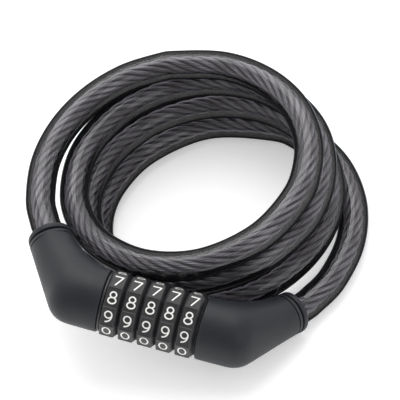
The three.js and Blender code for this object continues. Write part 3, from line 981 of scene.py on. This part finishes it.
for i in range(DIAL_COUNT):
    station = (i - (DIAL_COUNT - 1) / 2) * DIAL_PITCH * MM
    place = barrel_place @ Matrix.Translation((station, 0, 0))
    outline = [(x, r * corner_out) for x, r in DIAL_OUTLINE]
    half_facet = math.pi / FACETS
    dial = turned_piece(
        f"number_dial_{i + 1}", outline, place, dial_acetal, FACETS, FACING_TURN + half_facet,
    )
    sunk_panels(dial)
    rounding = dial.modifiers.new("round", "BEVEL")
    rounding.width = 0.00014
    rounding.segments = 2
    rounding.limit_method = "ANGLE"
    rounding.angle_limit = math.radians(20)
    settled(dial, 5)
    figures = settled(dial_figures(f"dial_figures_{i + 1}", place, digit_white), 60)
    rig.ride(dial, f"dial_{i + 1}_turning")
    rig.ride(figures, f"dial_{i + 1}_turning")
    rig.replaces(dial, f"dial_{i + 1}")
    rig.slot(dial, "dial_black")
    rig.slot(figures, "dial_black")

# ---- Spacer washer ---------------------------------------------------------------------------
# A plain black acetal washer keeps the first dial off the left housing. It's a loose fit on
# the core, with its edges just broken.
spacer = turned_piece(
    "spacer_ring", [(-20.25, 8.1), (-19.4, 8.1), (-19.4, 12.0), (-20.25, 12.0)],
    barrel_place, dial_acetal,
)
rounding = spacer.modifiers.new("round", "BEVEL")
rounding.width = 0.0002
rounding.segments = 2
settled(spacer, 40)
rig.ride(spacer, "lock_body")
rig.replaces(spacer, "spacer_washer")
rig.slot(spacer, "dial_black")

# ---- Works inside the barrel -----------------------------------------------------------------
# The cast zinc core and code rings, and the steel bolt, pins, ferrules, washer, retaining ring
# and detent spring keep their modelled shapes and take their own metals.
cast_zinc = grained_finish(
    "cast zinc", (0.42, 0.42, 0.43), 0.5, 0.3, 900.0, 0.00006, 0.6, 0.9,
)
bright_steel = grained_finish(
    "turned steel", (0.55, 0.55, 0.56), 0.3, 0.12, 2600.0, 0.00002, 0.4, 1.0,
)
blued_spring = grained_finish(
    "spring steel", (0.26, 0.26, 0.28), 0.34, 0.2, 1700.0, 0.00002, 0.5, 1.0,
)
INNER_METALS = {
    "lock_core": cast_zinc, "bolt": bright_steel, "bolt_pin": bright_steel,
    "core_pin": bright_steel, "left_ferrule": bright_steel, "right_ferrule": bright_steel,
    "left_ferrule_pin": bright_steel, "right_ferrule_pin": bright_steel,
    "end_washer": blued_spring, "retaining_ring": blued_spring, "detent_spring": blued_spring,
}
for i in range(DIAL_COUNT):
    INNER_METALS[f"code_ring_{i + 1}"] = cast_zinc
for name, metal in INNER_METALS.items():
    mesh = frame["nodes"][name].data
    mesh.materials.clear()
    mesh.materials.append(metal)

# ---- Floor and light -----------------------------------------------------------------------
# A plain pale light table, faintly lit from below, under a soft overhead light, with a
# paler wall of light all round.
floor_mesh = bpy.data.meshes.new("floor")
floor_mesh.from_pydata([(-3, -3, 0), (3, -3, 0), (3, 3, 0), (-3, 3, 0)], [], [(0, 1, 2, 3)])
floor = bpy.data.objects.new("floor", floor_mesh)
bpy.context.collection.objects.link(floor)
floor_finish, tree, shader = new_finish("pale floor")
shader.inputs["Base Color"].default_value = (0.93, 0.93, 0.93, 1)
shader.inputs["Roughness"].default_value = 0.9
shader.inputs["Emission Color"].default_value = (1, 1, 1, 1)
shader.inputs["Emission Strength"].default_value = 0.38
floor_mesh.materials.append(floor_finish)
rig.stage(floor)

world = bpy.data.worlds.new("world")
world.use_nodes = True
sky = world.node_tree
# brightest behind the lock and low down, dimmer in front of it
towards = node(sky, "ShaderNodeVectorMath", {
    0: node(sky, "ShaderNodeTexCoord").outputs["Generated"], 1: (-0.36, 0.64, -0.68),
}, operation="DOT_PRODUCT")
glow = node(sky, "ShaderNodeMapRange", {
    "Value": towards.outputs["Value"], "From Min": -1.0, "From Max": 0.6,
    "To Min": 0.34, "To Max": 1.65,
})
sky.nodes["Background"].inputs[0].default_value = (1.0, 1.0, 1.0, 1)
sky.links.new(glow.outputs[0], sky.nodes["Background"].inputs[1])
bpy.context.scene.world = world
bpy.context.scene.view_settings.view_transform = "Standard"


def soft_light(name, spot, size, power):
    data = bpy.data.lights.new(name, "AREA")
    data.shape = "DISK"
    data.size = size
    data.energy = power
    lamp = bpy.data.objects.new(name, data)
    turn = (Vector(spot) - COIL_CENTRE).to_track_quat("Z", "Y")
    lamp.matrix_world = Matrix.Translation(spot) @ turn.to_matrix().to_4x4()
    bpy.context.collection.objects.link(lamp)


soft_light("key light", (-0.1, 0.5, 1.1), 1.1, 7.0)
soft_light("fill light", (0.9, -0.5, 0.8), 0.8, 2.0)

with open("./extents.json", "w") as file:
    json.dump({
        "cad": [list(corner) for corner in cad_box],
        "visual": [list(corner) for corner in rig.bounds()],
    }, file)
